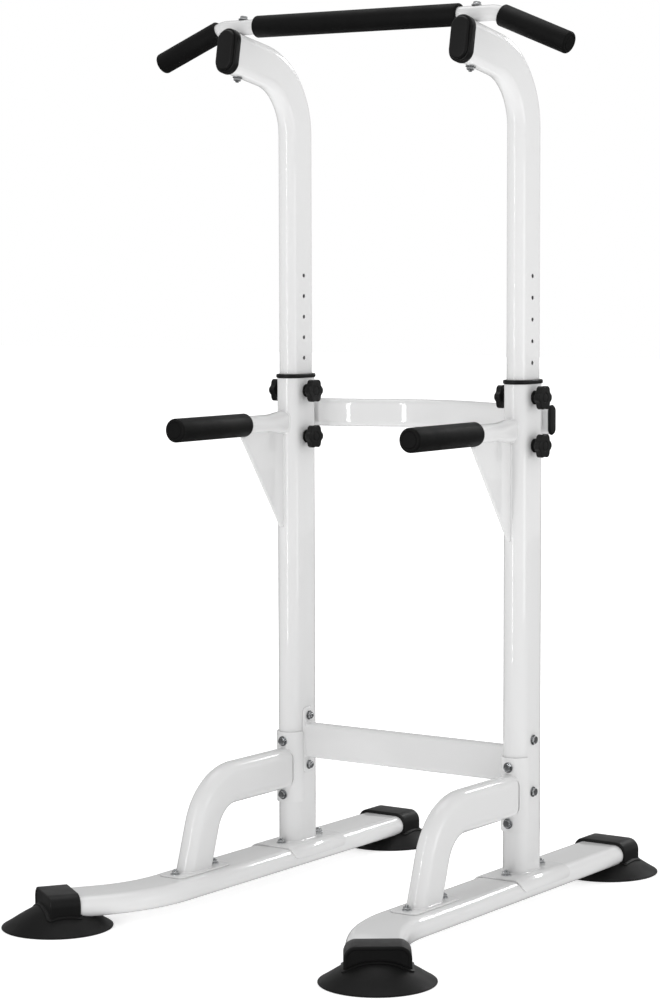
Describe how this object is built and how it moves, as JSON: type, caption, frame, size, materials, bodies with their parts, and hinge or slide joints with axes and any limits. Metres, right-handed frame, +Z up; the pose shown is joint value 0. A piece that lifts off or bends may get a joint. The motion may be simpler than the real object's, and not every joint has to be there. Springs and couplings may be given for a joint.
{
  "type": "power tower",
  "caption": "Free-standing white steel exercise frame with a height-adjustable pull-up bar, padded dip arms, bowed crossbar and runners on black suction-cup feet.",
  "frame": {"origin": "centre of the footprint at floor level", "axes": "+Z up, -Y toward the side the dip arms and the pull-up bar reach to, +X to the right when looking along +Y"},
  "size_m": [1.023, 1.282, 1.8607],
  "materials": {
    "white_paint": "glossy white paint on steel tube",
    "black_plastic": "satin black moulded plastic",
    "foam": "black closed-cell foam with a smooth skin",
    "rubber": "black moulded rubber",
    "zinc_steel": "bright zinc plate"
  },
  "bodies": {
    "stand": {"left_front_suction_cup": "rubber", "left_front_foot_cap": "black_plastic", "left_rear_suction_cup": "rubber", "left_rear_foot_cap": "black_plastic", "left_base_runner": "white_paint", "left_lower_post": "white_paint", "left_front_brace": "white_paint", "left_guide_bush": "black_plastic", "left_dip_arm": "white_paint", "left_dip_gusset": "white_paint", "left_dip_grip": "foam", "left_back_bar_cap": "black_plastic", "left_brace_bolt_1": "zinc_steel", "left_crossbar_bolt_1": "zinc_steel", "left_brace_bolt_2": "zinc_steel", "left_crossbar_bolt_2": "zinc_steel", "left_foot_bolt_1": "zinc_steel", "left_foot_bolt_2": "zinc_steel", "left_foot_bolt_3": "zinc_steel", "left_foot_bolt_4": "zinc_steel", "right_front_suction_cup": "rubber", "right_front_foot_cap": "black_plastic", "right_rear_suction_cup": "rubber", "right_rear_foot_cap": "black_plastic", "right_base_runner": "white_paint", "right_lower_post": "white_paint", "right_front_brace": "white_paint", "right_guide_bush": "black_plastic", "right_dip_arm": "white_paint", "right_dip_gusset": "white_paint", "right_dip_grip": "foam", "right_back_bar_cap": "black_plastic", "right_brace_bolt_1": "zinc_steel", "right_crossbar_bolt_1": "zinc_steel", "right_brace_bolt_2": "zinc_steel", "right_crossbar_bolt_2": "zinc_steel", "right_foot_bolt_1": "zinc_steel", "right_foot_bolt_2": "zinc_steel", "right_foot_bolt_3": "zinc_steel", "right_foot_bolt_4": "zinc_steel", "lower_crossbar": "white_paint", "back_crossbar": "white_paint"},
    "upper_frame": {"left_upper_post": "white_paint", "left_arm_cap": "black_plastic", "left_end_grip": "foam", "left_bar_bolt": "zinc_steel", "right_upper_post": "white_paint", "right_arm_cap": "black_plastic", "right_end_grip": "foam", "right_bar_bolt": "zinc_steel", "pull_up_bar": "white_paint", "centre_grip": "foam"},
    "left_outer_knob_1": {"left_outer_knob_1": "black_plastic"},
    "left_inner_knob_1": {"left_inner_knob_1": "black_plastic"},
    "left_outer_knob_2": {"left_outer_knob_2": "black_plastic"},
    "left_inner_knob_2": {"left_inner_knob_2": "black_plastic"},
    "right_outer_knob_1": {"right_outer_knob_1": "black_plastic"},
    "right_inner_knob_1": {"right_inner_knob_1": "black_plastic"},
    "right_outer_knob_2": {"right_outer_knob_2": "black_plastic"},
    "right_inner_knob_2": {"right_inner_knob_2": "black_plastic"}
  },
  "joints": [
    {"name": "height_slide", "type": "slide", "parent": "stand", "child": "upper_frame", "axis": [0, 0, 1], "range_m": [-0.2235, 0.1788]},
    {"name": "left_outer_knob_1_turn", "type": "hinge", "parent": "stand", "child": "left_outer_knob_1", "pos_m": [-0.335, 0.163, 0.9668], "axis": [-1, 0, 0], "range_deg": [0, 1080]},
    {"name": "left_inner_knob_1_turn", "type": "hinge", "parent": "stand", "child": "left_inner_knob_1", "pos_m": [-0.245, 0.163, 0.9668], "axis": [1, 0, 0], "range_deg": [0, 1080]},
    {"name": "left_outer_knob_2_turn", "type": "hinge", "parent": "stand", "child": "left_outer_knob_2", "pos_m": [-0.335, 0.163, 1.0663], "axis": [-1, 0, 0], "range_deg": [0, 1080]},
    {"name": "left_inner_knob_2_turn", "type": "hinge", "parent": "stand", "child": "left_inner_knob_2", "pos_m": [-0.245, 0.163, 1.0663], "axis": [1, 0, 0], "range_deg": [0, 1080]},
    {"name": "right_outer_knob_1_turn", "type": "hinge", "parent": "stand", "child": "right_outer_knob_1", "pos_m": [0.335, 0.163, 0.9668], "axis": [1, 0, 0], "range_deg": [0, 1080]},
    {"name": "right_inner_knob_1_turn", "type": "hinge", "parent": "stand", "child": "right_inner_knob_1", "pos_m": [0.245, 0.163, 0.9668], "axis": [-1, 0, 0], "range_deg": [0, 1080]},
    {"name": "right_outer_knob_2_turn", "type": "hinge", "parent": "stand", "child": "right_outer_knob_2", "pos_m": [0.335, 0.163, 1.0663], "axis": [1, 0, 0], "range_deg": [0, 1080]},
    {"name": "right_inner_knob_2_turn", "type": "hinge", "parent": "stand", "child": "right_inner_knob_2", "pos_m": [0.245, 0.163, 1.0663], "axis": [-1, 0, 0], "range_deg": [0, 1080]}
  ]
}
